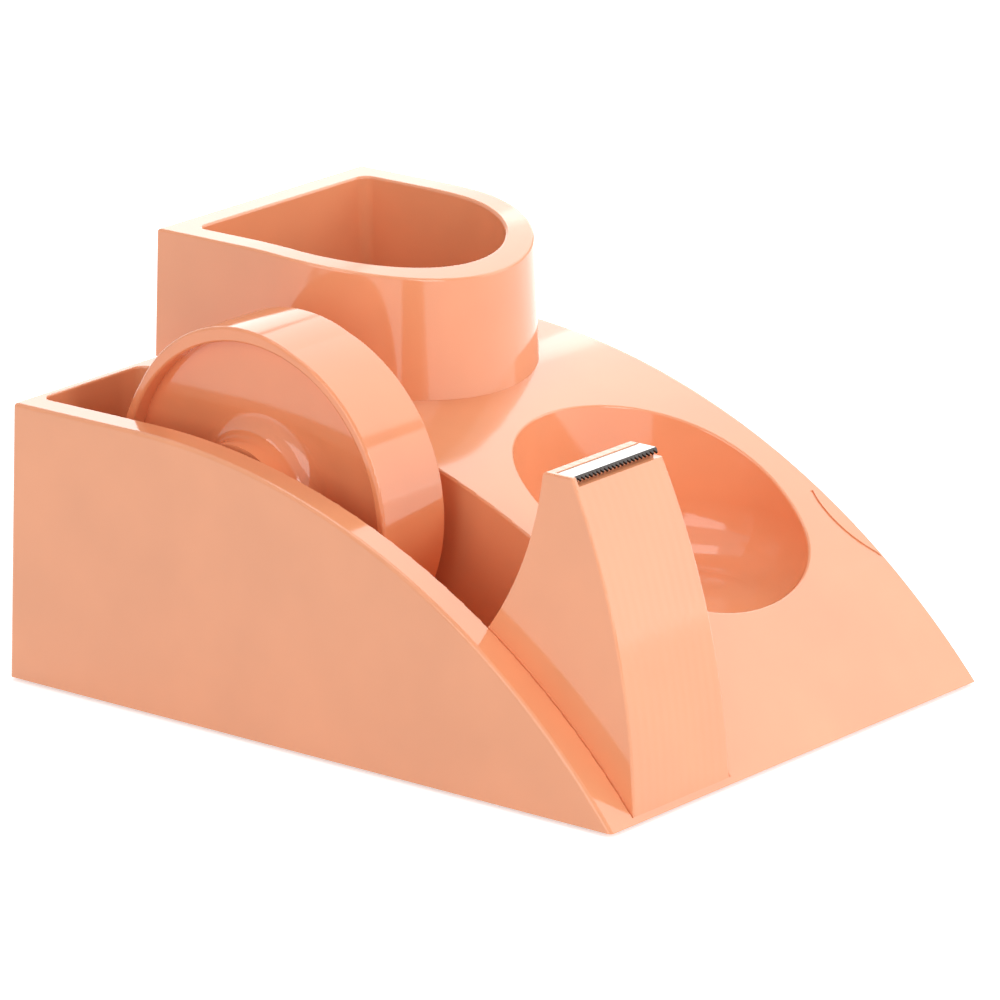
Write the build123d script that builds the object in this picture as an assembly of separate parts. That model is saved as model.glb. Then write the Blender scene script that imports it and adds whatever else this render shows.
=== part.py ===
"""Desk organizer in glossy moulded plastic: tape reel and cutter, pen cup, clip bowl and drawer.

Millimetres, +Z up. The organizer stands on its feet at Z = 0, with the origin under the
middle of its footprint. Its wall side faces -X, its sharp front edge faces -Y and its drawer
opens towards +X. Pieces are laid out from the left front bottom corner of the body, and
moved to the origin when they are written.
"""
from build123d import *

import os
from math import atan2, cos, pi, radians, sin, sqrt, tan

os.makedirs("parts", exist_ok=True)

# ---------------------------------------------------------------- body
body_width = 126.0
body_depth = 170.0
body_height = 62.4
crest_run = 37.4               # flat top, from the rear to where the arc of the slope starts
draft = 1.75                   # degrees, on every outer wall
wall = 2.5
corner_round = 1.0             # upright rear corners
edge_round = 0.9               # along the top edges
mouth_round = 0.5              # round the mouths of the tape bay and the bowl
foot_lift = 0.8                # the feet hold the body this far off the desk
seat_gap = 0.05                # between fixed pieces that drop into each other
screw_gap = 0.05               # radial, round a screw in its pilot hole

crest_from_front = body_depth - crest_run
slope_radius = (crest_from_front**2 + body_height**2) / (2 * body_height)
slope_centre_z = body_height - slope_radius
lean = tan(radians(draft))

# ---------------------------------------------------------------- base plate and its screws
plate_bottom = 0.4
plate_thick = 2.4
plate_front = 4.0
plate_top = plate_bottom + plate_thick
screw_shank = 2.6
screw_head = 5.2
screw_head_thick = 1.4
screw_slot = 0.8
boss_diameter = 6.4
boss_screw_depth = 6.0
pilot_spare = 0.4
front_screws_from_front = 12.0
front_screw_to_bay = 19.3
front_screw_to_side = 16.0
rear_screws_to_bay = 7.5
rear_screws_to_side = 7.5
rear_screws_to_rear = 8.0
middle_screws_to_drawer = 11.8

# ---------------------------------------------------------------- tape bay
left_wall = 8.6                # double wall, hollow
bay_width = 32.1
bay_rear_wall = 2.5
bay_corner_round = 2.5
bay_front = 1.0                # a thin lip of the slope stays in front of the tower
bay_right = left_wall + bay_width
bay_mid = left_wall + bay_width / 2
bay_rear = body_depth - lean * body_height - bay_rear_wall

# ---------------------------------------------------------------- pen cup
cup_height = 91.5
cup_to_bay = 8.25              # from the rim's outline
cup_to_side = 8.55
cup_straight = 37.3            # straight sides from the rear, before the round front
cup_rim_level = 27.3           # the rim runs level from the rear, then droops to the front
cup_corner_round = 1.2
cup_rim = 6.2
cup_rim_round = 0.6
cup_inner_draft = 1.0
cup_skin = 2.5                 # wall of the well inside the body
cup_bottom = 6.2
cup_floor_thick = 3.0
cup_floor_round = 3.0
cup_hole_gap = 0.25
cup_screw_spread = 26.0
cup_screw_behind_arc = 2.3
cup_pad = 9.0
cup_pad_height = 3.6
cup_half_width = (body_width - cup_to_side - cup_to_bay - bay_right) / 2
cup_middle = body_width - cup_to_side - cup_half_width
cup_arc_from_front = body_depth - cup_straight
cup_rim_crest = body_depth - cup_rim_level
cup_screw_from_front = cup_arc_from_front + cup_screw_behind_arc

# ---------------------------------------------------------------- clip bowl
bowl_inset = 2.05              # smaller than the cup, on the same line
bowl_to_cup = 80.0             # middle to middle
bowl_floor = 20.0
bowl_floor_round = 12.0
bowl_skin = 2.2
bowl_radius = cup_half_width - bowl_inset
bowl_from_front = cup_arc_from_front - bowl_to_cup

# ---------------------------------------------------------------- steel weights
ballast_thick = 3.2
ballast_margin = 2.0           # in from the cup's outline
ballast_ahead = 26.7           # in front of the cup's middle
tower_weight_height = 23.0
tower_weight_front = 18.5
tower_weight_to_ramp = 3.8
weight_gap = 0.6               # to the walls round it

# ---------------------------------------------------------------- cutter tower
tower_height = 71.3
tower_front_radius = 168.0
tower_top_depth = 7.7
ramp_ahead = 9.7               # lowest point, in front of the reel's axis
ramp_bottom = 4.3              # lowest point of the ramp, under the reel
tower_left_lean = 0.4          # degrees, above the slope
tower_right_lean = 2.3
tower_skin = 2.5
tower_cap = 7.0                # solid head that the cutter sits in
tower_edge_round = 0.5
tower_screws_y = (13.0, 50.0)

# ---------------------------------------------------------------- cutter blade
blade_to_left = 1.8            # from the bay's left side
blade_to_right = 2.8
blade_from_top_rear = 2.3
blade_depth = 4.3
blade_thick = 0.5
blade_flange = 1.4
blade_flange_tilt = 38.0       # degrees below the level
blade_teeth = 22
tooth_height = 1.0
blade_sink = 0.2
teeth_recess = 1.2             # room in the tower below the teeth

# ---------------------------------------------------------------- reel
reel_diameter = 76.0
reel_width = 20.2
reel_from_rear = 58.9
reel_axis_height = 46.7
reel_rim = 2.2
reel_rim_round = 0.7
grip_lift = 1.2                # the tread swells by this much, to grip a core
grip_radius = 33.9
grip_angle = 72.0              # degrees up from the rear
reel_web = 2.2
reel_web_recess = 4.2
hub_radius = 14.5
hub_flare = 5.0
hub_wall_gap = 1.3             # hub end to bay wall
hub_ring = 2.4
hub_recess = 1.4
hub_step = 1.1
cover_spigot_wall = 1.6
cover_spigot_length = 6.0
pin_diameter = 6.0
pin_clearance = 0.08           # radial, in the bay walls and the guide
pin_collar = 8.4
pin_collar_thick = 2.0
pin_tail = 4.4
pin_tail_length = 5.0
sleeve_wall = 1.6
sleeve_gap = 0.2
sprung_engagement = 1.6
fixed_engagement = 1.0
fixed_pin_length = 13.0
dimple_spare = 0.2
dimple_pad = 12.0
dimple_pad_thick = 1.2
pin_guide_thick = 2.0
spring_wire = 0.6
spring_diameter = 5.4
spring_turns = 6
spring_length = 8.0
spring_wall = 2.0

# ---------------------------------------------------------------- drawer
drawer_from_front = 22.6
drawer_from_rear = 77.8
drawer_top = 17.0
drawer_bottom = 4.4
drawer_skin = 1.6
drawer_to_bay = 2.8            # tray to the bay's wall
face_play = 0.3                # tray's front to the body's wall
face_margin = 1.2              # face past the tray, to each side
face_top_margin = 0.55
face_bottom_margin = 1.15
face_peg = 3.0
face_peg_length = 1.3
opening_gap = 0.25             # face to opening
pull_notch_radius = 8.0        # half round, in the face's top edge, for a finger
slide_gap = 0.3                # between the drawer and what guides it
tongue_height = 1.6
tongue_width = 0.9
tongue_bottom = 9.0
tongue_front_margin = 4.0
runner_foot = 4.0
runner_thick = 1.5
runner_front_margin = 2.2      # runner's end to the face
runner_screw_shank = 2.0
runner_screw_head = 3.6
runner_screw_head_thick = 1.2
runner_screw_depth = 1.9
runner_screw_from_back = 12.0
runner_screw_to_face = 21.2
drawer_kept = 20.2             # length of the tray that stays inside when it is open
stop_thick = 2.0
stop_width = 14.0

# ---------------------------------------------------------------- shallow nail groove in the slope
groove_radius = 13.75
groove_width = 0.8
groove_deep = 0.3
groove_outside = 8.2           # its centre, out from the body's right side
groove_middle = 35.0
groove_front = 24.0
groove_rear = 42.0

# ---------------------------------------------------------------- feet
foot_diameter = 10.0
foot_to_side = 14.0
front_feet_from_front = 22.0
rear_feet_to_rear = 15.0

# ---------------------------------------------------------------- sizes that follow
reach = 20.0                   # how far cutting shapes run past what they cut
opening_front = drawer_from_front - face_margin - opening_gap
opening_rear = body_depth - drawer_from_rear + face_margin + opening_gap
opening_bottom = drawer_bottom - face_bottom_margin - opening_gap
opening_top = drawer_top + face_top_margin + opening_gap
drawer_width = body_depth - drawer_from_front - drawer_from_rear
drawer_middle = drawer_from_front + drawer_width / 2
drawer_back = bay_right + wall + drawer_to_bay
face_back = body_width - wall - face_play
drawer_travel = face_back - drawer_back - drawer_kept
reel_from_front = body_depth - reel_from_rear
reel_left = bay_mid - reel_width / 2
reel_right = bay_mid + reel_width / 2
hub_left = left_wall + hub_wall_gap
hub_right = bay_right - hub_wall_gap
web_left = reel_left + reel_web_recess
web_right = reel_right - reel_web_recess
hub_bore = hub_radius - hub_ring
guide_left = hub_left + hub_recess
guide_right = guide_left + pin_guide_thick
spring_right = guide_right + pin_collar_thick + spring_length
tower_front_y = bay_front + tower_front_radius
tower_top_front = tower_front_y - sqrt(tower_front_radius**2 - tower_height**2)
tower_top_rear = tower_top_front + tower_top_depth
ramp_centre_y = reel_from_front - ramp_ahead
ramp_rise = tower_height - ramp_bottom
ramp_radius = ((ramp_centre_y - tower_top_rear)**2 + ramp_rise**2) / (2 * ramp_rise)
ramp_centre_z = ramp_bottom + ramp_radius
blade_top = tower_height - blade_sink
blade_left = left_wall + blade_to_left
blade_right = bay_right - blade_to_right
blade_rear = tower_top_rear - blade_from_top_rear
cup_slant = tan(radians(cup_inner_draft))


def block(x0, x1, y0, y1, z0, z1):
    """Box between two corners."""
    return Pos(x0, y0, z0) * Box(x1 - x0, y1 - y0, z1 - z0, align=(Align.MIN, Align.MIN, Align.MIN))


def along_x(profile, x0, x1):
    """Extrude a sketch drawn as (front to rear, up) from x0 to x1."""
    return extrude(Plane.YZ.offset(x0) * profile, amount=x1 - x0)


def rod_x(radius, x0, x1):
    """Round bar on the reel's axis."""
    middle = Pos((x0 + x1) / 2, reel_from_front, reel_axis_height)
    return middle * Rot(0, 90, 0) * Cylinder(radius, x1 - x0)


def tube_x(radius, bore, x0, x1):
    """Tube on the reel's axis."""
    return rod_x(radius, x0, x1) - rod_x(bore, x0 - 1, x1 + 1)


def rod_z(radius, z0, z1, x, y):
    """Upright round bar."""
    return Pos(x, y, (z0 + z1) / 2) * Cylinder(radius, z1 - z0)


def slope_sketch(inset=0.0):
    """Side outline of the body, drawn in by a wall's thickness."""
    radius = slope_radius - inset
    top = body_height - inset
    toe = crest_from_front - sqrt(radius**2 - slope_centre_z**2)
    mid_angle = (atan2(-slope_centre_z, toe - crest_from_front) + pi / 2) / 2
    middle = (crest_from_front + radius * cos(mid_angle), slope_centre_z + radius * sin(mid_angle))
    far = body_depth + reach
    with BuildSketch() as outline:
        with BuildLine():
            ThreePointArc((toe, 0), middle, (crest_from_front, top))
            Polyline((crest_from_front, top), (far, top), (far, 0), (toe, 0))
        make_face()
    return outline.sketch


def tapered_hull(inset=0.0):
    """Drafted left, right and rear walls of the body."""
    deep = body_depth + 3 * reach
    plan = Pos(body_width / 2, body_depth - inset - deep / 2) * Rectangle(body_width - 2 * inset, deep)
    return extrude(plan, amount=body_height + 1, taper=draft)


def d_outline(half, rear, corner):
    """Plan of the cup: round to the front, flat to the rear."""
    plan = Pos(cup_middle, cup_arc_from_front) * Circle(half)
    plan -= Pos(cup_middle, cup_arc_from_front + half) * Rectangle(3 * half, 2 * half)
    plan += Pos(cup_middle, (cup_arc_from_front + rear) / 2) * Rectangle(2 * half, rear - cup_arc_from_front)
    return fillet(plan.vertices().sort_by(Axis.Y)[-2:], corner)


def cup_well(grow, z0, z1):
    """The cup's inside, grown by a wall, between two heights. It narrows downwards."""
    below = (cup_height - z0) * cup_slant
    half = cup_half_width - cup_rim - below + grow
    rear = body_depth - lean * cup_height - cup_rim - below + grow
    corner = cup_corner_round + max(grow, 0)
    return Pos(0, 0, z0) * extrude(d_outline(half, rear, corner), amount=z1 - z0, taper=-cup_inner_draft)


def ramp_skin_front(z):
    """How far back the room in the tower reaches at a height, up to the ramp's skin."""
    return ramp_centre_y - sqrt((ramp_radius + tower_skin)**2 - (ramp_centre_z - z)**2)


def in_top(edge, crest, height):
    """True for an edge that lies in a top that is level behind its crest and arched in front of it."""
    for share in (0.02, 0.25, 0.5, 0.75, 0.98):
        spot = edge.position_at(share)
        off = spot.Z - height
        if spot.Y < crest:
            off = sqrt((spot.Y - crest)**2 + (spot.Z - height + slope_radius)**2) - slope_radius
        if abs(off) > 0.02:
            return False
    return True


def mouth_edges(shell):
    """Top edges of the tape bay and of the bowl, but for the bay's thin front lip."""
    found = []
    for edge in shell.edges():
        spot = edge.center()
        in_bay = left_wall - 0.5 < spot.X < bay_right + 0.5 and spot.Y > bay_front + 2
        off_bowl = abs(sqrt((edge.position_at(0.5).X - cup_middle)**2
                            + (edge.position_at(0.5).Y - bowl_from_front)**2) - bowl_radius)
        if (in_bay or off_bowl < 0.1) and in_top(edge, crest_from_front, body_height):
            found.append(edge)
    return found


def base_screw_spots():
    """The six screws between the base plate and the shell."""
    middle_y = drawer_from_front + drawer_width + middle_screws_to_drawer
    spots = [(bay_right + front_screw_to_bay, front_screws_from_front),
             (body_width - front_screw_to_side, front_screws_from_front)]
    for y in (middle_y, body_depth - rear_screws_to_rear):
        spots += [(bay_right + rear_screws_to_bay, y), (body_width - rear_screws_to_side, y)]
    return spots


def pilot(x, y, top):
    """Hole for a screw that comes up through the base plate."""
    return rod_z(screw_shank / 2 + screw_gap, 0, top + pilot_spare, x, y)


def screw(x, y, top):
    """Self-tapping screw, its head sunk into the underside of the base plate."""
    head_top = plate_bottom + screw_head_thick
    body = rod_z(screw_head / 2, plate_bottom, head_top, x, y)
    body += rod_z(screw_shank / 2, head_top, top, x, y)
    half = screw_head / 3
    depth = plate_bottom + screw_head_thick / 2
    body -= block(x - half, x + half, y - screw_slot / 2, y + screw_slot / 2, 0, depth)
    return body - block(x - screw_slot / 2, x + screw_slot / 2, y - half, y + half, 0, depth)


def all_screw_spots():
    """Every screw through the base plate: place and height of its tip."""
    spots = [(x, y, plate_top + boss_screw_depth) for x, y in base_screw_spots()]
    spots += [(bay_mid, y, plate_top + boss_screw_depth) for y in tower_screws_y]
    tip = cup_bottom + cup_floor_thick + cup_pad_height - 1.0
    spots += [(cup_middle + side * cup_screw_spread / 2, cup_screw_from_front, tip) for side in (-1, 1)]
    return spots


def body_shell():
    """The wedge: slope, crest, double left wall, tape bay, bowl, cup hole and drawer opening."""
    outer = along_x(slope_sketch(), -1, body_width + 1) & tapered_hull()
    uprights = [e for e in outer.edges() if e.center().Y > body_depth - 5 and 5 < e.center().Z < body_height - 5]
    outer = fillet(uprights, corner_round)
    rims = []
    for edge in outer.edges():
        middle = edge.center()
        across = abs(edge.tangent_at(0.5).X) > 0.99
        upright = abs(edge.tangent_at(0.5).Z) > 0.99
        if middle.Z > 5 and not upright and not (across and middle.Y < body_depth - 5):
            rims.append(edge)
    outer = fillet(rims, edge_round)

    hollow = along_x(slope_sketch(wall), 0, body_width) & tapered_hull(wall)
    shell = outer - (hollow & block(0, left_wall - wall, 0, body_depth, 0, body_height))
    shell -= hollow & block(bay_right + wall, body_width, 0, body_depth, 0, body_height)
    shell -= block(wall, body_width - wall, plate_front, body_depth - wall, -1, plate_top)

    for x, y in base_screw_spots():
        shell += rod_z(boss_diameter / 2, plate_top, body_height, x, y) & outer
    skin = rod_z(bowl_radius + bowl_skin, bowl_floor - bowl_skin, body_height, cup_middle, bowl_from_front)
    skin = fillet(skin.edges().sort_by(Axis.Z)[:1], bowl_floor_round + bowl_skin)
    shell += skin & outer
    shell += rod_x(dimple_pad / 2, left_wall - wall - dimple_pad_thick, left_wall - wall)

    bay = block(left_wall, bay_right, bay_front, bay_rear, -1, body_height + reach)
    corners = bay.edges().filter_by(Axis.Z).sort_by(Axis.Y)[-2:]
    shell -= fillet(corners, bay_corner_round)
    bowl = rod_z(bowl_radius, bowl_floor, body_height + reach, cup_middle, bowl_from_front)
    shell -= fillet(bowl.edges().sort_by(Axis.Z)[:1], bowl_floor_round)
    shell = fillet(mouth_edges(shell), mouth_round)
    groove_x = body_width + groove_outside
    groove = rod_z(groove_radius + groove_width, 0, body_height + reach, groove_x, groove_middle)
    groove -= rod_z(groove_radius, -1, body_height + reach + 1, groove_x, groove_middle)
    groove &= block(0, body_width - 2 * edge_round, groove_front, groove_rear, 0, body_height + reach)
    shell -= groove - along_x(slope_sketch(groove_deep), 0, body_width)
    shell -= block(face_back - 2 * wall, body_width + 1, opening_front, opening_rear, opening_bottom, opening_top)
    shell -= cup_well(cup_skin + cup_hole_gap, plate_top, body_height + reach)
    for x, y, top in all_screw_spots():
        shell -= pilot(x, y, top)
    dimple = pin_diameter / 2 + pin_clearance
    shell -= rod_x(dimple, left_wall - sprung_engagement - dimple_spare, left_wall + 1)
    return shell - rod_x(dimple, bay_right - 1, bay_right + fixed_engagement + dimple_spare)


def base_plate():
    """Flat floor inside the skirt, with counterbored screw holes, the drawer's stop and screw pilots."""
    edge = wall + seat_gap
    plate = block(edge, body_width - edge, plate_front + seat_gap, body_depth - edge, plate_bottom, plate_top)
    plate = fillet(plate.edges().filter_by(Axis.Z), corner_round)
    stop_left = drawer_back + stop_thick + drawer_travel
    stop_half = stop_width / 2
    plate += block(stop_left, stop_left + stop_thick, drawer_middle - stop_half, drawer_middle + stop_half,
                   plate_top, drawer_bottom - slide_gap)
    for x, y, top in all_screw_spots():
        plate -= pilot(x, y, top)
        plate -= rod_z(screw_head / 2 + screw_gap, 0, plate_bottom + screw_head_thick, x, y)
    for x, y in runner_screw_spots():
        plate -= rod_z(runner_screw_shank / 2 + screw_gap, plate_top - runner_screw_depth, plate_top + 1, x, y)
    return plate


def base_screws():
    """Six screws that close the housing."""
    return [screw(x, y, top) for x, y, top in all_screw_spots()[:6]]


def tower_screws():
    """Two screws that hold the tower down."""
    return [screw(x, y, top) for x, y, top in all_screw_spots()[6:8]]


def cup_screws():
    """Two screws through the ballast into the cup's floor."""
    return [screw(x, y, top) for x, y, top in all_screw_spots()[8:]]


def rubber_feet():
    """Four stuck-on pads."""
    feet = []
    spots = [(x, y) for x in (foot_to_side, body_width - foot_to_side)
             for y in (front_feet_from_front, body_depth - rear_feet_to_rear)]
    for x, y in spots:
        pad = rod_z(foot_diameter / 2, -foot_lift, plate_bottom, x, y)
        feet.append(fillet(pad.edges().sort_by(Axis.Z)[:1], foot_lift / 2))
    return feet


def pen_cup():
    """D-shaped cup: thick rim above the crest, thin well down inside the body."""
    base_half = cup_half_width + lean * cup_height
    rim = extrude(d_outline(base_half, body_depth, corner_round), amount=cup_height, taper=draft)
    rim -= along_x(slope_sketch(), 0, body_width)
    rim -= block(0, body_width, 0, crest_from_front, -1, body_height / 2)
    start = cup_arc_from_front - base_half - reach
    run = cup_rim_crest - start
    mid_run = run / 2
    mid_drop = slope_radius - sqrt(slope_radius**2 - mid_run**2)
    drop = slope_radius - sqrt(slope_radius**2 - run**2)
    far = body_depth + reach
    with BuildSketch() as above:
        with BuildLine():
            ThreePointArc((start, cup_height - drop), (cup_rim_crest - mid_run, cup_height - mid_drop),
                          (cup_rim_crest, cup_height))
            Polyline((cup_rim_crest, cup_height), (far, cup_height), (far, cup_height + reach),
                     (start, cup_height + reach), (start, cup_height - drop))
        make_face()
    cup = rim + cup_well(cup_skin, cup_bottom, body_height + 3.0)
    cup -= along_x(above.sketch, 0, body_width)
    floor = cup_bottom + cup_floor_thick
    well = cup_well(0, floor, cup_height + reach)
    cup -= fillet(well.faces().sort_by(Axis.Z)[0].edges(), cup_floor_round)
    lips = [e for e in cup.edges() if in_top(e, cup_rim_crest, cup_height) and abs(e.center().Y - cup_rim_crest) > 0.01]
    cup = fillet(lips, cup_rim_round)
    for x, y, top in all_screw_spots()[8:]:
        cup += rod_z(cup_pad / 2, floor - 1, floor + cup_pad_height, x, y)
        cup -= pilot(x, y, top)
    return cup


def ballast_plate():
    """Steel plate under the cup, held by the cup's screws."""
    half = cup_half_width - cup_rim - (cup_height - cup_bottom) * cup_slant + cup_skin - ballast_margin
    rear = body_depth - lean * cup_height - cup_rim - (cup_height - cup_bottom) * cup_slant + cup_skin
    plate = block(cup_middle - half, cup_middle + half, cup_arc_from_front - ballast_ahead,
                  rear - ballast_margin, plate_top, plate_top + ballast_thick)
    plate = fillet(plate.edges().filter_by(Axis.Z), 2 * cup_corner_round)
    for x, y, top in all_screw_spots()[8:]:
        plate -= pilot(x, y, top)
    return plate


def tower_side():
    """Side outline of the tower and the ramp behind it, down to the desk line."""
    top_front, top_rear = tower_top_front, tower_top_rear
    half_front = tower_front_y - sqrt(tower_front_radius**2 - (tower_height / 2)**2)
    top_angle = atan2(tower_height - ramp_centre_z, top_rear - ramp_centre_y) % (2 * pi)
    mid_angle = (top_angle + 1.5 * pi) / 2
    middle = (ramp_centre_y + ramp_radius * cos(mid_angle), ramp_centre_z + ramp_radius * sin(mid_angle))
    rear = bay_rear - seat_gap
    with BuildSketch() as side:
        with BuildLine():
            ThreePointArc((bay_front, 0), (half_front, tower_height / 2), (top_front, tower_height))
            Line((top_front, tower_height), (top_rear, tower_height))
            ThreePointArc((top_rear, tower_height), middle, (ramp_centre_y, ramp_bottom))
            Polyline((ramp_centre_y, ramp_bottom), (rear, ramp_bottom), (rear, 0), (bay_front, 0))
        make_face()
    return side.sketch


def tower_hollow_side():
    """Side outline of the room inside the tower, one skin in from its front and its ramp."""
    front_radius = tower_front_radius - tower_skin
    low = plate_top - seat_gap
    top = tower_height - tower_cap
    mid = (low + top) / 2
    rear_low, rear_mid, rear_top = (ramp_skin_front(z) for z in (low, mid, top))
    front = [(tower_front_y - sqrt(front_radius**2 - z**2), z) for z in (low, mid, top)]
    with BuildSketch() as side:
        with BuildLine():
            ThreePointArc(*front)
            Line(front[2], (rear_top, top))
            ThreePointArc((rear_top, top), (rear_mid, mid), (rear_low, low))
            Line((rear_low, low), front[0])
        make_face()
    return side.sketch


def leaning_block(inset, top):
    """Room between the tower's leaning sides."""
    left = left_wall + seat_gap + inset
    right = bay_right - seat_gap - inset
    left_top = left + top * tan(radians(tower_left_lean))
    right_top = right - top * tan(radians(tower_right_lean))
    with BuildSketch() as section:
        with BuildLine():
            Polyline((left, 0), (right, 0), (right_top, top), (left_top, top), (left, 0))
        make_face()
    return extrude(Plane.XZ.offset(-body_depth) * section.sketch, amount=body_depth + reach)


def blade_tower():
    """Upright for the cutter and, in one piece with it, the curved floor of the tape bay."""
    left = left_wall + seat_gap
    right = bay_right - seat_gap
    solid = along_x(tower_side(), left, right)
    upright = solid & leaning_block(0, tower_height)
    sharp = []
    for edge in upright.edges():
        middle = edge.position_at(0.5)
        at_top = all(abs(edge.position_at(share).Z - tower_height) < 0.01 for share in (0, 0.5, 1))
        along_front = middle.Y < tower_top_front and middle.Z > tower_height / 4
        if at_top or (along_front and abs(edge.tangent_at(0.5).X) < 0.5):
            sharp.append(edge)
    tower = fillet(sharp, tower_edge_round) + (solid & along_x(slope_sketch(), left, right))
    tower -= block(0, body_width, plate_front, body_depth, -1, plate_top)
    tower -= block(0, body_width, 0, plate_front + 1, -1, plate_bottom)
    room = along_x(tower_hollow_side(), left, right) & leaning_block(tower_skin, tower_height)
    pillars = [rod_z(boss_diameter / 2, plate_top, tower_height / 2, bay_mid, tower_screws_y[1]),
               rod_z(boss_diameter / 2, plate_top, tower_height - tower_cap, bay_mid, tower_screws_y[0])]
    for pillar in pillars:
        room -= pillar
    tower -= room
    plan = block(left, right, 0, bay_rear - seat_gap, -1, tower_height + 1)
    rear_corners = plan.edges().filter_by(Axis.Z).sort_by(Axis.Y)[-2:]
    tower &= fillet(rear_corners, bay_corner_round)

    shelf = blade_top - blade_thick
    front = blade_rear - blade_depth
    pocket_left = blade_left - seat_gap
    tower -= block(pocket_left, bay_right, 0, blade_rear + seat_gap, shelf, tower_height + 1)
    tower -= block(pocket_left, bay_right, 0, front + blade_thick, shelf - teeth_recess, shelf + 1)
    for x, y, top in all_screw_spots()[6:8]:
        tower -= pilot(x, y, top)
    return tower


def tower_weight():
    """Steel block low in the tower."""
    left = left_wall + seat_gap + tower_skin + weight_gap
    sides = bay_right - seat_gap - tower_skin - weight_gap
    right = sides - (plate_top + tower_weight_height) * tan(radians(tower_right_lean))
    top = plate_top + tower_weight_height
    rear = min(ramp_skin_front(top) - tower_weight_to_ramp, tower_screws_y[1] - boss_diameter / 2 - weight_gap)
    bar = block(left, right, tower_weight_front, rear, plate_top, top)
    return chamfer(bar.edges().filter_by(Axis.Z), 0.6)


def cutter_blade():
    """Toothed steel strip: a flat back in the tower's pocket and a front bent down."""
    front = blade_rear - blade_depth
    blade_length = blade_right - blade_left
    flat = block(blade_left, blade_right, front, blade_rear, blade_top - blade_thick, blade_top)
    pitch = blade_length / blade_teeth
    points = [(0, 0), (0, -blade_flange + tooth_height)]
    for tooth in range(blade_teeth):
        points.append(((tooth + 0.5) * pitch, -blade_flange))
        points.append(((tooth + 1) * pitch, -blade_flange + tooth_height))
    points += [(blade_length, 0), (0, 0)]
    with BuildSketch() as comb:
        with BuildLine():
            Polyline(*points)
        make_face()
    tilt = radians(blade_flange_tilt)
    sheet = Plane(origin=(blade_left, front, blade_top), x_dir=(1, 0, 0), z_dir=(0, sin(tilt), -cos(tilt)))
    if sheet.y_dir.Y < 0:
        sheet = Plane(origin=(blade_left, front, blade_top), x_dir=(1, 0, 0), z_dir=(0, -sin(tilt), cos(tilt)))
        flange = extrude(sheet * comb.sketch, amount=-blade_thick)
    else:
        flange = extrude(sheet * comb.sketch, amount=blade_thick)
    return flat + flange


def flare(face_x, side):
    """Concave sweep from the hub out to a web. side is -1 on the left web, 1 on the right."""
    end_x = face_x + side * hub_flare
    with BuildSketch(Plane.XY) as section:
        with BuildLine():
            Polyline((face_x, hub_bore), (face_x, hub_radius + hub_flare))
            RadiusArc((face_x, hub_radius + hub_flare), (end_x, hub_radius), -side * hub_flare)
            Polyline((end_x, hub_radius), (end_x, hub_bore), (face_x, hub_bore))
        make_face()
    ring = revolve(section.sketch, Axis.X)
    return Pos(0, reel_from_front, reel_axis_height) * ring


def reel_drum():
    """Left half of the reel: the tread that the tape's core sits on, a deep-set web and a flared hub."""
    drum = tube_x(reel_diameter / 2, reel_diameter / 2 - reel_rim, reel_left, reel_right)
    drum = fillet([e for e in drum.edges() if e.geom_type == GeomType.CIRCLE and e.radius > hub_radius],
                  reel_rim_round)
    lift = reel_diameter / 2 + grip_lift - grip_radius
    grip = Pos(0, lift * cos(radians(grip_angle)), lift * sin(radians(grip_angle)))
    grip *= rod_x(grip_radius, reel_left, reel_right)
    grip = fillet([e for e in grip.edges() if e.geom_type == GeomType.CIRCLE], reel_rim_round)
    drum += grip - rod_x(reel_diameter / 2 - reel_rim_round, reel_left - 1, reel_right + 1)
    drum += tube_x(reel_diameter / 2 - reel_rim / 2, hub_bore, web_left, web_left + reel_web)
    drum += flare(web_left, -1)
    drum += tube_x(hub_radius, hub_bore, hub_left, web_left)
    return drum + tube_x(hub_bore + hub_ring / 2, hub_bore - hub_step, guide_right, web_left + reel_web)


def reel_cover():
    """Right half: disc, flared hub, spigot into the drum, spring seat and the fixed pin's sleeve."""
    cover = tube_x(reel_diameter / 2 - reel_rim - seat_gap, hub_bore, web_right - reel_web, web_right)
    cover += flare(web_right, 1)
    cover += tube_x(hub_radius, hub_bore, web_right, hub_right)
    spigot = hub_bore - hub_step - seat_gap
    spigot_bore = spigot - cover_spigot_wall
    between = web_left + reel_web
    cover += tube_x(spigot, spigot_bore, between - cover_spigot_length, web_right)
    cover += tube_x(hub_bore + hub_ring / 2, spigot_bore, between, web_right)
    cover += rod_x(spigot_bore + 0.2, spring_right, spring_right + spring_wall)
    sleeve_bore = pin_collar / 2 + sleeve_gap
    sleeve_left = guide_right + pin_collar_thick
    cover += tube_x(sleeve_bore + sleeve_wall, sleeve_bore, sleeve_left, spring_right + spring_wall / 2)
    cap_right = hub_right - hub_recess
    pin_left = bay_right + fixed_engagement - fixed_pin_length
    cover += rod_x(hub_bore + 0.2, cap_right - reel_web, cap_right)
    cover += rod_x(pin_diameter / 2 + sleeve_wall, pin_left - 1, cap_right)
    return cover - rod_x(pin_diameter / 2 + screw_gap, pin_left, hub_right + 1)


def pin_guide():
    """Bush in the hub's left end that the sprung pin slides in."""
    return tube_x(hub_bore - seat_gap, pin_diameter / 2 + pin_clearance, guide_left, guide_right)


def axle_pin_sprung():
    """Left axle pin, pushed into the bay's left wall by its spring."""
    tip = left_wall - sprung_engagement
    collar_right = guide_right + pin_collar_thick
    pin = rod_x(pin_diameter / 2, tip, guide_right)
    pin = chamfer(pin.edges().sort_by(Axis.X)[:1], 0.5)
    pin += rod_x(pin_collar / 2, guide_right, collar_right)
    return pin + rod_x(pin_tail / 2, collar_right, collar_right + pin_tail_length)


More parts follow.
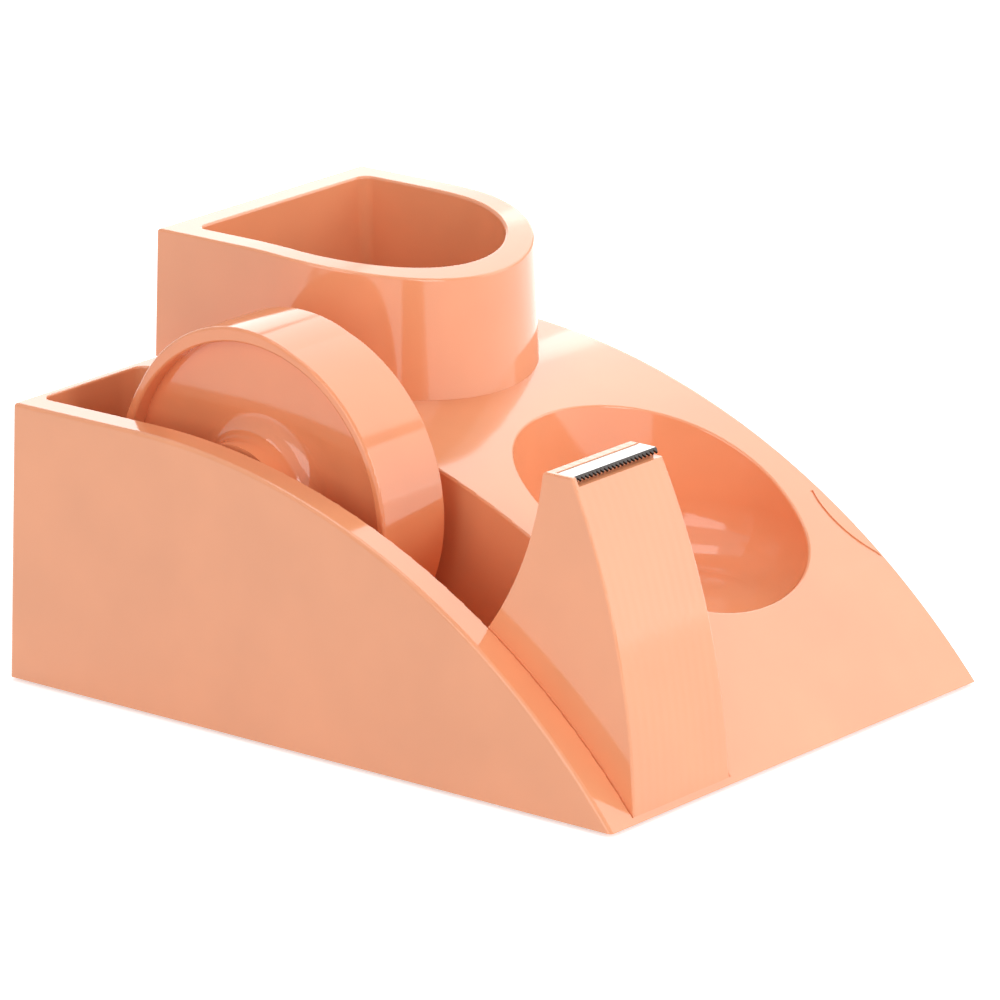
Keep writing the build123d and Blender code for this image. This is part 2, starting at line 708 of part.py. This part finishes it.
def axle_pin_fixed():
    """Right axle pin, pressed into the cover's sleeve."""
    right = bay_right + fixed_engagement
    pin = rod_x(pin_diameter / 2, right - fixed_pin_length, right)
    return chamfer(pin.edges().sort_by(Axis.X)[-1:], 0.4)


def axle_spring():
    """Compression spring behind the sprung pin."""
    left = guide_right + pin_collar_thick + spring_wire / 2
    height = spring_right - spring_wire / 2 - left
    coil = Helix(pitch=height / spring_turns, height=height, radius=spring_diameter / 2)
    start = Plane(origin=coil @ 0, z_dir=coil % 0)
    wire = sweep(start * Circle(spring_wire / 2), path=coil)
    return Pos(left, reel_from_front, reel_axis_height) * Rot(0, 90, 0) * wire


def drawer_tray():
    """Open tray with side tongues, a finger notch behind the face and a stop rib below."""
    rear = drawer_from_front + drawer_width
    tray = block(drawer_back, face_back, drawer_from_front, rear, drawer_bottom, drawer_top)
    tray = fillet(tray.edges().filter_by(Axis.Z).sort_by(Axis.X)[:2], corner_round)
    inside = block(drawer_back + drawer_skin, face_back - drawer_skin, drawer_from_front + drawer_skin,
                   rear - drawer_skin, drawer_bottom + drawer_skin, drawer_top + 1)
    inside = fillet(inside.edges().filter_by(Axis.Z), corner_round)
    tray -= inside
    tongue_end = face_back - tongue_front_margin
    tray += block(drawer_back + corner_round, tongue_end, drawer_from_front - tongue_width, drawer_from_front,
                  tongue_bottom, tongue_bottom + tongue_height)
    tray += block(drawer_back + corner_round, tongue_end, rear, rear + tongue_width,
                  tongue_bottom, tongue_bottom + tongue_height)
    rib_half = stop_width / 2
    tray += block(drawer_back, drawer_back + stop_thick, drawer_middle - rib_half, drawer_middle + rib_half,
                  plate_top + slide_gap, drawer_bottom)
    tray -= pull_notch()
    for y in face_peg_spots():
        hole = Pos(face_back, y, (drawer_bottom + drawer_top) / 2) * Rot(0, 90, 0)
        tray -= hole * Cylinder(face_peg / 2 + screw_gap, 3 * drawer_skin)
    return tray


def face_peg_spots():
    """Where the face's two pegs sit, front to rear."""
    return (drawer_from_front + 2 * face_peg, drawer_from_front + drawer_width - 2 * face_peg)


def pull_notch():
    """Half-round cut for a finger, through the tray's front wall and its face."""
    x0, x1 = face_back - drawer_skin - 1, body_width + 1
    return Pos((x0 + x1) / 2, drawer_middle, drawer_top) * Rot(0, 90, 0) * Cylinder(pull_notch_radius, x1 - x0)


def drawer_face():
    """Flush front of the drawer, pegged and glued to the tray."""
    face = block(face_back, body_width, opening_front + opening_gap, opening_rear - opening_gap,
                 opening_bottom + opening_gap, opening_top - opening_gap)
    face = (face & tapered_hull()) - pull_notch()
    for y in face_peg_spots():
        peg = Pos(face_back - face_peg_length / 2, y, (drawer_bottom + drawer_top) / 2) * Rot(0, 90, 0)
        face += peg * Cylinder(face_peg / 2, face_peg_length)
    return face


def runner_screw_spots():
    """Screws down through the runners' feet."""
    near = drawer_from_front - tongue_width - slide_gap - runner_thick - runner_foot / 2
    far = drawer_from_front + drawer_width + tongue_width + slide_gap + runner_thick + runner_foot / 2
    return [(x, y) for y in (near, far) for x in (drawer_back + runner_screw_from_back, face_back - runner_screw_to_face)]


def runner(side):
    """Channel that a tongue slides in. side is -1 for the front one, 1 for the rear one."""
    middle = drawer_middle
    inner = drawer_width / 2 + slide_gap
    back = drawer_width / 2 + tongue_width + slide_gap
    out = back + runner_thick
    low = tongue_bottom - slide_gap
    high = tongue_bottom + tongue_height + slide_gap
    x1 = face_back - runner_front_margin

    def bar(near, far, z0, z1):
        ends = sorted((middle + side * near, middle + side * far))
        return block(drawer_back, x1, ends[0], ends[1], z0, z1)

    rail = bar(back, out, plate_top, high + runner_thick)
    rail += bar(inner, out, low - runner_thick, low)
    rail += bar(inner, out, high, high + runner_thick)
    rail += bar(back, out + runner_foot, plate_top, plate_top + runner_thick)
    for x, y in runner_screw_spots():
        rail -= rod_z(runner_screw_shank / 2 + screw_gap, 0, plate_top + 2 * runner_thick, x, y)
    return rail


def runner_screws():
    """Four pan-head screws in the runners' feet."""
    seat = plate_top + runner_thick
    screws = []
    for x, y in runner_screw_spots():
        head = rod_z(runner_screw_head / 2, seat, seat + runner_screw_head_thick, x, y)
        head = fillet(head.edges().sort_by(Axis.Z)[-1:], runner_screw_head_thick / 3)
        head -= block(x - 1.2, x + 1.2, y - 0.3, y + 0.3, seat + runner_screw_head_thick / 2, seat + 5)
        shank_bottom = plate_top - runner_screw_depth + screw_gap
        screws.append(head + rod_z(runner_screw_shank / 2, shank_bottom, seat, x, y))
    return screws


pieces = {
    "body_shell": body_shell(),
    "base_plate": base_plate(),
    "base_screws": base_screws(),
    "rubber_feet": rubber_feet(),
    "pen_cup": pen_cup(),
    "cup_screws": cup_screws(),
    "ballast_plate": ballast_plate(),
    "blade_tower": blade_tower(),
    "tower_screws": tower_screws(),
    "tower_weight": tower_weight(),
    "cutter_blade": cutter_blade(),
    "reel_drum": reel_drum(),
    "reel_cover": reel_cover(),
    "pin_guide": pin_guide(),
    "axle_pin_sprung": axle_pin_sprung(),
    "axle_pin_fixed": axle_pin_fixed(),
    "axle_spring": axle_spring(),
    "drawer_tray": drawer_tray(),
    "drawer_face": drawer_face(),
    "runner_front": runner(-1),
    "runner_rear": runner(1),
    "runner_screws": runner_screws(),
}

to_origin = Pos(-body_width / 2, -body_depth / 2, foot_lift)
for name, shape in pieces.items():
    if isinstance(shape, list):
        placed = Compound(children=[to_origin * one for one in shape])
    else:
        placed = to_origin * shape
    placed.label = name
    export_step(placed, f"parts/{name}.step")
    print(name, round(placed.volume, 1))
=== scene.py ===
import bpy
import math
from mathutils import Matrix, Vector

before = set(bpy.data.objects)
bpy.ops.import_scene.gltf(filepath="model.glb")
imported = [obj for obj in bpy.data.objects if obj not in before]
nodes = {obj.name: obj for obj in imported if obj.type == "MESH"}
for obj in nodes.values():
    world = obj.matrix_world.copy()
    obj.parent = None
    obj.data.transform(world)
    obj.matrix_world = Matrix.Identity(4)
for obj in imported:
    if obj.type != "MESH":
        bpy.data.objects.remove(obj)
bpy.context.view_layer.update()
scene = bpy.context.scene
scene.view_settings.view_transform = "Standard"

# ---------------------------------------------------------------- camera
# A long lens from the front left, as a product photograph is taken, tipped a little to one side.
look_at = Vector((0.04012, 0.03053, 0.02609))
camera_turn = math.radians(-49.861)
camera_rise = math.radians(17.114)
camera_tip = math.radians(-0.858)
camera_distance = 1.73115
back = Vector((math.sin(camera_turn) * math.cos(camera_rise),
               -math.cos(camera_turn) * math.cos(camera_rise),
               math.sin(camera_rise)))
right = (-back).cross(Vector((0, 0, 1))).normalized()
up = right.cross(-back)
tipped_right = math.cos(camera_tip) * right + math.sin(camera_tip) * up
tipped_up = -math.sin(camera_tip) * right + math.cos(camera_tip) * up
camera = bpy.data.objects.new("camera", bpy.data.cameras.new("camera"))
scene.collection.objects.link(camera)
camera.data.sensor_width = 36.0
camera.data.lens = 278.55
camera.data.clip_start = 0.05
camera.data.clip_end = 20.0
placing = Matrix((tipped_right, tipped_up, back)).transposed().to_4x4()
placing.translation = look_at + camera_distance * back
camera.matrix_world = placing
scene.camera = camera

# ---------------------------------------------------------------- soft boxes
# The main box stands high at the right and whitens the slope, a panel behind it the flat tops.
# A box straight ahead streaks the round cup and one at the front right lights the tower. One
# overhead and one at the left fill in.
lamp_aim = Vector((0.0, 0.0, 0.03))


def soft_box(name, place, size, watts):
    lamp = bpy.data.objects.new(name, bpy.data.lights.new(name, "AREA"))
    lamp.data.shape = "RECTANGLE"
    lamp.data.size, lamp.data.size_y = size
    lamp.data.energy = watts
    lamp.location = place
    lamp.rotation_euler = (lamp_aim - Vector(place)).to_track_quat("-Z", "Y").to_euler()
    scene.collection.objects.link(lamp)


soft_box("box_main", (1.00, 0.00, 0.85), (1.6, 0.6), 5.6)
soft_box("panel_rear", (1.15, 0.97, 0.42), (1.1, 0.75), 4.6)
soft_box("box_ahead", (-0.16, -1.15, 0.50), (0.45, 0.8), 5.0)
soft_box("box_front_right", (0.95, -0.88, 0.30), (0.7, 0.6), 2.4)
soft_box("box_top", (-0.05, 0.20, 1.30), (0.6, 0.6), 2.6)
soft_box("box_left", (-1.1, -0.1, 0.45), (0.7, 0.7), 3.6)

# ---------------------------------------------------------------- white room
# Walls of a plain white studio: white where the camera and the gloss see them, softer as light.
room_light = 0.42
room_white = (1.0, 0.99, 0.98, 1)
paper_white = (1, 1, 1, 1)
world = bpy.data.worlds.new("studio")
scene.world = world
world.use_nodes = True
shade = world.node_tree.nodes
links = world.node_tree.links
shade.clear()
room = shade.new("ShaderNodeBackground")
room.inputs["Color"].default_value = room_white
room.inputs["Strength"].default_value = room_light
paper = shade.new("ShaderNodeBackground")
paper.inputs["Color"].default_value = paper_white
paper.inputs["Strength"].default_value = 1.0
path = shade.new("ShaderNodeLightPath")
seen = shade.new("ShaderNodeMath")
seen.operation = "MAXIMUM"
mix = shade.new("ShaderNodeMixShader")
out = shade.new("ShaderNodeOutputWorld")
links.new(path.outputs["Is Camera Ray"], seen.inputs[0])
links.new(path.outputs["Is Glossy Ray"], seen.inputs[1])
links.new(seen.outputs[0], mix.inputs[0])
links.new(room.outputs[0], mix.inputs[1])
links.new(paper.outputs[0], mix.inputs[2])
links.new(mix.outputs[0], out.inputs[0])

# ---------------------------------------------------------------- floor
# White sweep under the product. Its own faint glow to the camera lifts it to paper white, and the
# shadow close round the feet stays.
floor_glow = 0.52
floor_width = 6.0
floor_white = (0.86, 0.86, 0.86, 1)
bpy.ops.mesh.primitive_plane_add(size=floor_width, location=(0, 0, 0))
floor = bpy.context.object
floor.name = "floor"
floor_finish = bpy.data.materials.new("white_sweep")
floor_finish.use_nodes = True
shade = floor_finish.node_tree.nodes
links = floor_finish.node_tree.links
shade.clear()
matt = shade.new("ShaderNodeBsdfDiffuse")
matt.inputs["Color"].default_value = floor_white
glow = shade.new("ShaderNodeEmission")
path = shade.new("ShaderNodeLightPath")
level = shade.new("ShaderNodeMath")
level.operation = "MULTIPLY_ADD"
level.inputs[1].default_value = floor_glow
both = shade.new("ShaderNodeAddShader")
out = shade.new("ShaderNodeOutputMaterial")
links.new(path.outputs["Is Camera Ray"], level.inputs[0])
links.new(path.outputs["Is Glossy Ray"], level.inputs[2])
links.new(level.outputs[0], glow.inputs["Strength"])
links.new(matt.outputs[0], both.inputs[0])
links.new(glow.outputs[0], both.inputs[1])
links.new(both.outputs[0], out.inputs[0])
floor.data.materials.append(floor_finish)

# ---------------------------------------------------------------- body shell and drawer face
# The wedge and the drawer's flush front are one glossy ABS, injection moulded in a polished tool.
# The skin carries a faint orange peel, long sink waves over the ribs and hairline wipe marks.
salmon = (0.90, 0.368, 0.183)


def wire(finish):
    """A material's nodes and links, with its shader."""
    finish.use_nodes = True
    tree = finish.node_tree
    return tree.nodes, tree.links, tree.nodes["Principled BSDF"]


def noise(shade, links, spot, size, detail=3.0, stretch=(1, 1, 1), seed=0.0):
    """Noise whose lumps are size metres across, drawn out along an axis where stretch is small."""
    place = shade.new("ShaderNodeMapping")
    place.inputs["Location"].default_value = (seed, 0.37 * seed, 0.71 * seed)
    place.inputs["Scale"].default_value = [value / size for value in stretch]
    links.new(spot, place.inputs["Vector"])
    cloud = shade.new("ShaderNodeTexNoise")
    cloud.inputs["Scale"].default_value = 1.0
    cloud.inputs["Detail"].default_value = detail
    links.new(place.outputs[0], cloud.inputs["Vector"])
    return cloud.outputs["Fac"]


def ranged(shade, links, value, low, high, start=0.3, end=0.7):
    """A noise's middle band spread between two values."""
    spread = shade.new("ShaderNodeMapRange")
    spread.inputs["From Min"].default_value = start
    spread.inputs["From Max"].default_value = end
    spread.inputs["To Min"].default_value = low
    spread.inputs["To Max"].default_value = high
    links.new(value, spread.inputs["Value"])
    return spread.outputs["Result"]


def raised(shade, links, height, depth, under=None):
    """Bump of a height field, depth metres high, over another normal."""
    bump = shade.new("ShaderNodeBump")
    bump.inputs["Strength"].default_value = 1.0
    bump.inputs["Distance"].default_value = depth
    links.new(height, bump.inputs["Height"])
    if under is not None:
        links.new(under, bump.inputs["Normal"])
    return bump.outputs["Normal"]


def tinted(shade, links, amount, first, second):
    """Colour between two, by a factor."""
    blend = shade.new("ShaderNodeMix")
    blend.data_type = "RGBA"
    blend.inputs["A"].default_value = (*first, 1)
    blend.inputs["B"].default_value = (*second, 1)
    links.new(amount, blend.inputs["Factor"])
    return blend.outputs["Result"]


def scaled(colour, share):
    """Colour made paler or deeper, up to full."""
    return tuple(min(1.0, value * share) for value in colour)


def moulded(name, colour, gloss=(0.07, 0.14), peel=(0.0009, 3.5e-6), wave=(0.030, 5e-5),
            wipe=(0.02, 1, 1), seed=0.0):
    """Moulded plastic: pigment clouds, orange peel, sink waves and wipe marks along one axis.

    gloss is the roughness from clean to wiped, peel and wave are a width and a depth in metres.
    """
    cloud_size = 0.022
    deep_share, pale_share = 0.965, 1.03
    smear_size = 0.0016
    finish = bpy.data.materials.new(name)
    shade, links, shader = wire(finish)
    spot = shade.new("ShaderNodeTexCoord").outputs["Object"]
    cloud = noise(shade, links, spot, cloud_size, 2.0, seed=seed)
    pigment = ranged(shade, links, cloud, 0.0, 1.0)
    deep, pale = scaled(colour, deep_share), scaled(colour, pale_share)
    links.new(tinted(shade, links, pigment, deep, pale), shader.inputs["Base Color"])
    smear = noise(shade, links, spot, smear_size, 4.0, wipe, seed + 3.0)
    dull = ranged(shade, links, smear, gloss[0], gloss[1], start=0.35, end=0.75)
    links.new(dull, shader.inputs["Roughness"])
    waves = noise(shade, links, spot, wave[0], 1.0, seed=seed + 7.0)
    dimples = noise(shade, links, spot, peel[0], 2.0, seed=seed + 11.0)
    sunk = raised(shade, links, waves, wave[1])
    links.new(raised(shade, links, dimples, peel[1], sunk), shader.inputs["Normal"])
    shader.inputs["IOR"].default_value = 1.55
    return finish


def coat(name, finish):
    """One finish on a whole piece."""
    mesh = nodes[name].data
    mesh.materials.clear()
    mesh.materials.append(finish)


coat("body_shell", moulded("body_plastic", salmon))
coat("drawer_face", moulded("drawer_face_plastic", salmon, seed=2.0))

# ---------------------------------------------------------------- pen cup
# Thick-walled cup of the same ABS, screwed down from below. Its sides were drawn straight up out of
# the tool, so its wipe marks run upright.
coat("pen_cup", moulded("cup_plastic", salmon, wipe=(1, 1, 0.02), seed=5.0))

# ---------------------------------------------------------------- cutter tower
# Hollow upright and ramp in one moulding of the same ABS, screwed down from below. Fine lengthwise
# lines from the tool show on its face.
tower_line_pitch = 0.0026
tower_line_depth = 2.4e-5
wave_texture_period = 0.314
tower_finish = moulded("tower_plastic", scaled(salmon, 1.02), wipe=(1, 1, 0.02), seed=9.0)
shade, links, shader = wire(tower_finish)
spot = shade.new("ShaderNodeTexCoord").outputs["Object"]
lines = shade.new("ShaderNodeTexWave")
lines.bands_direction = "X"
lines.inputs["Scale"].default_value = wave_texture_period / tower_line_pitch
lines.inputs["Distortion"].default_value = 0.8
lines.inputs["Detail Scale"].default_value = 0.6
links.new(spot, lines.inputs["Vector"])
below = shader.inputs["Normal"].links[0].from_socket
lined = raised(shade, links, lines.outputs["Fac"], tower_line_depth, below)
links.new(lined, shader.inputs["Normal"])
coat("blade_tower", tower_finish)

# ---------------------------------------------------------------- cutter blade
# Toothed strip, stamped and bent from bright rolled steel. The rolling grain runs along the strip.
# Faces that tip down from level, the teeth, are painted nearly black by which way they face:
# painted shade.
def metal(name, colour, gloss, grain, grain_size=0.0003, depth=2e-6, seed=0.0):
    """Bare metal whose grain is drawn out along an axis where grain is small, with faint stains."""
    stain_size = 0.006
    dark_share, bright_share = 0.9, 1.05
    finish = bpy.data.materials.new(name)
    shade, links, shader = wire(finish)
    spot = shade.new("ShaderNodeTexCoord").outputs["Object"]
    streaks = noise(shade, links, spot, grain_size, 4.0, grain, seed)
    links.new(ranged(shade, links, streaks, *gloss), shader.inputs["Roughness"])
    stains = noise(shade, links, spot, stain_size, 3.0, seed=seed + 4.0)
    stained = ranged(shade, links, stains, 0.0, 1.0)
    dark, bright = scaled(colour, dark_share), scaled(colour, bright_share)
    links.new(tinted(shade, links, stained, dark, bright), shader.inputs["Base Color"])
    links.new(raised(shade, links, streaks, depth), shader.inputs["Normal"])
    shader.inputs["Metallic"].default_value = 1.0
    return finish


# Painted shade on the blade: faces whose normal points lower than these heights turn dark.
shade_full_below, shade_none_above = 0.85, 0.95
painted_shade_black = (0.055, 0.048, 0.045, 1)
blade_finish = metal("blade_steel", (0.60, 0.59, 0.58), (0.22, 0.40), (0.03, 1, 1))
shade, links, shader = wire(blade_finish)
facing = shade.new("ShaderNodeSeparateXYZ")
links.new(shade.new("ShaderNodeNewGeometry").outputs["True Normal"], facing.inputs[0])
downward_shade_mask = ranged(shade, links, facing.outputs["Z"], 1.0, 0.0, shade_full_below, shade_none_above)
bare = shader.inputs["Base Color"].links[0].from_socket
# Bare steel mixed towards near black on the downward faces, as painted shade.
steel_with_painted_shade = shade.new("ShaderNodeMix")
steel_with_painted_shade.data_type = "RGBA"
steel_with_painted_shade.inputs["B"].default_value = painted_shade_black
links.new(bare, steel_with_painted_shade.inputs["A"])
links.new(downward_shade_mask, steel_with_painted_shade.inputs["Factor"])
links.new(steel_with_painted_shade.outputs["Result"], shader.inputs["Base Color"])
coat("cutter_blade", blade_finish)

# ---------------------------------------------------------------- reel
# Tape core holder in two mouldings, a drum with its web and a cover, pressed together at the hub.
# Tread and webs are polished like the body.
reel_salmon = (0.91, 0.33, 0.15)
coat("reel_drum", moulded("reel_plastic", reel_salmon, wipe=(0.05, 1, 1), seed=14.0))
coat("reel_cover", moulded("reel_cover_plastic", scaled(reel_salmon, 0.98), wipe=(0.05, 1, 1),
                           seed=16.0))

# ---------------------------------------------------------------- axle
# Two turned steel pins carry the reel between the bay's walls. The left one slides in an acetal
# bush, pushed out by a spring of drawn wire.
coat("pin_guide", moulded("guide_plastic", (0.32, 0.12, 0.09), (0.35, 0.5), (0.0005, 6e-6),
                          seed=18.0))
for number, name in enumerate(("axle_pin_sprung", "axle_pin_fixed")):
    coat(name, metal(name + "_steel", (0.66, 0.66, 0.68), (0.2, 0.4), (1, 0.05, 0.05),
                     seed=20.0 + number))
coat("axle_spring", metal("spring_steel", (0.50, 0.50, 0.52), (0.3, 0.45), (1, 1, 1), seed=23.0))

# ---------------------------------------------------------------- drawer tray
# Open tray of the body's ABS, moulded by itself and less polished, because small stationery
# rubs it. It slides in two runners.
coat("drawer_tray", moulded("tray_plastic", scaled(salmon, 0.97), (0.14, 0.3), seed=26.0))

# ---------------------------------------------------------------- drawer runners
# Channels in natural acetal, waxy and slightly uneven, held down by small pan-head screws.
runner_finish = moulded("runner_plastic", (0.84, 0.82, 0.76), (0.32, 0.45), (0.0007, 6e-6),
                        seed=28.0)
coat("runner_front", runner_finish)
coat("runner_rear", runner_finish)

# ---------------------------------------------------------------- base plate
# Flat moulding that closes the housing from below, held by screws. Its spark-eroded grain hides
# scuffs, and it is slightly darker than the body.
coat("base_plate", moulded("plate_plastic", scaled(salmon, 0.9), (0.38, 0.55), (0.0006, 3e-5),
                           seed=31.0))

# ---------------------------------------------------------------- screws
# Self-tapping steel screws that hold the base plate, cup, tower and runners. They are zinc
# plated, and the plating is cloudy and differs a little from one set to the next.
for number, name in enumerate(("base_screws", "cup_screws", "tower_screws", "runner_screws")):
    coat(name, metal(name + "_zinc", (0.62, 0.63, 0.66), (0.25, 0.5), (1, 1, 0.3),
                     seed=34.0 + number))

# ---------------------------------------------------------------- steel weights
# A plate under the cup and a bar under the tower keep the organizer from tipping. They are sawn
# from black bar with its mill scale left on: dark, patchy and dull.
for number, name in enumerate(("ballast_plate", "tower_weight")):
    coat(name, metal(name + "_scale", (0.20, 0.19, 0.19), (0.45, 0.7), (1, 1, 1),
                     grain_size=0.0012, depth=2e-5, seed=39.0 + number))

# ---------------------------------------------------------------- feet
# Four pads of black rubber with a fine dusty grain, cut from sheet and stuck on below the
# base plate.
coat("rubber_feet", moulded("foot_rubber", (0.035, 0.034, 0.033), (0.7, 0.9), (0.0004, 1.5e-5),
                            seed=43.0))
